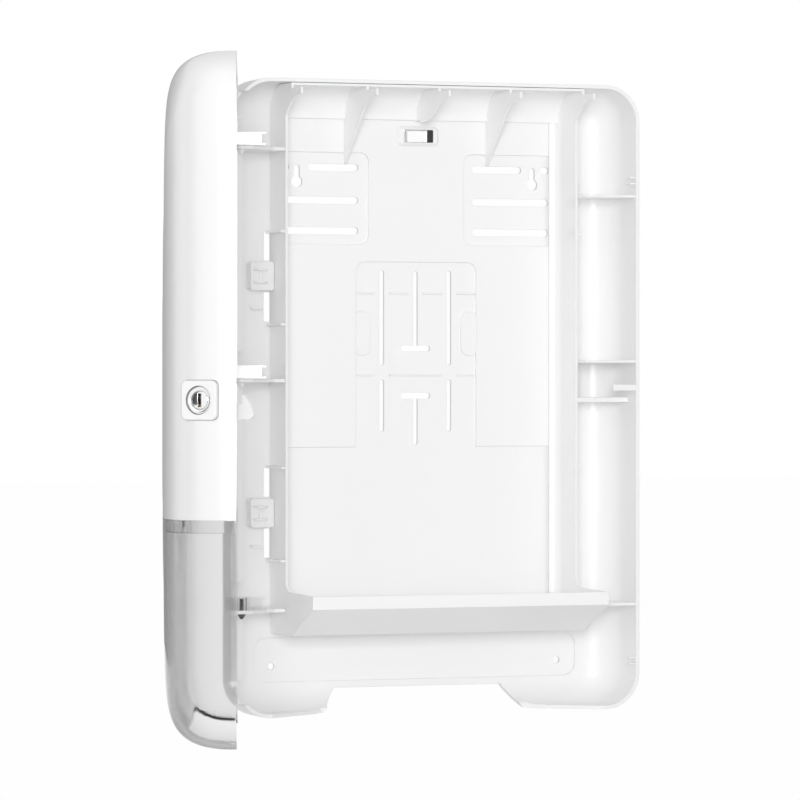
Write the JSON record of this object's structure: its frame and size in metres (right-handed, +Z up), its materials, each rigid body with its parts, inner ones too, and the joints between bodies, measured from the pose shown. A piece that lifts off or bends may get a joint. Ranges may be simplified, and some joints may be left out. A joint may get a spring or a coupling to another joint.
{
  "type": "multifold towel dispenser",
  "caption": "Wall-mounted dispenser for folded paper towels: housing with towel chute and a curved two-tone cover with cam lock, hinged open to the left.",
  "frame": {"origin": "middle of the housing's back face, on the wall plane", "axes": "+Z up, +X to the right seen from the front, +Y into the wall"},
  "size_m": [0.4268, 0.3289, 0.441],
  "materials": {
    "white_moulding": "satin moulded ABS",
    "cover_white": "glossy moulded ABS",
    "window_grey": "smoked see-through plastic",
    "dark_plastic": "matt",
    "clear_vial": "clear acrylic",
    "lock_chrome": "nickel plated",
    "wafer_brass": "stamped"
  },
  "bodies": {
    "housing": {"rear_housing": "white_moulding", "towel_chute": "white_moulding", "upper_chute_clip": "white_moulding", "lower_chute_clip": "white_moulding", "level_vial": "clear_vial", "level_end_cap": "dark_plastic"},
    "cover": {"upper_cover": "cover_white", "lower_window": "window_grey", "upper_hinge_pin": "cover_white", "middle_hinge_pin": "cover_white", "lower_hinge_pin": "dark_plastic", "lock_bezel": "cover_white", "lock_barrel": "lock_chrome", "lock_nut": "lock_chrome"},
    "lock_core": {"lock_plug": "lock_chrome", "lock_wafers": "wafer_brass", "lock_cam": "cover_white", "lock_cam_screw": "lock_chrome"}
  },
  "joints": [
    {"name": "cover_swing", "type": "hinge", "parent": "housing", "child": "cover", "pos_m": [-0.1458, -0.0492, 0], "axis": [0, 0, -1], "range_deg": [-109, 0]},
    {"name": "lock_turn", "type": "hinge", "parent": "cover", "child": "lock_core", "pos_m": [-0.26587, -0.31714, 0], "axis": [-0.7314, -0.682, 0], "range_deg": [-79, 11]}
  ]
}
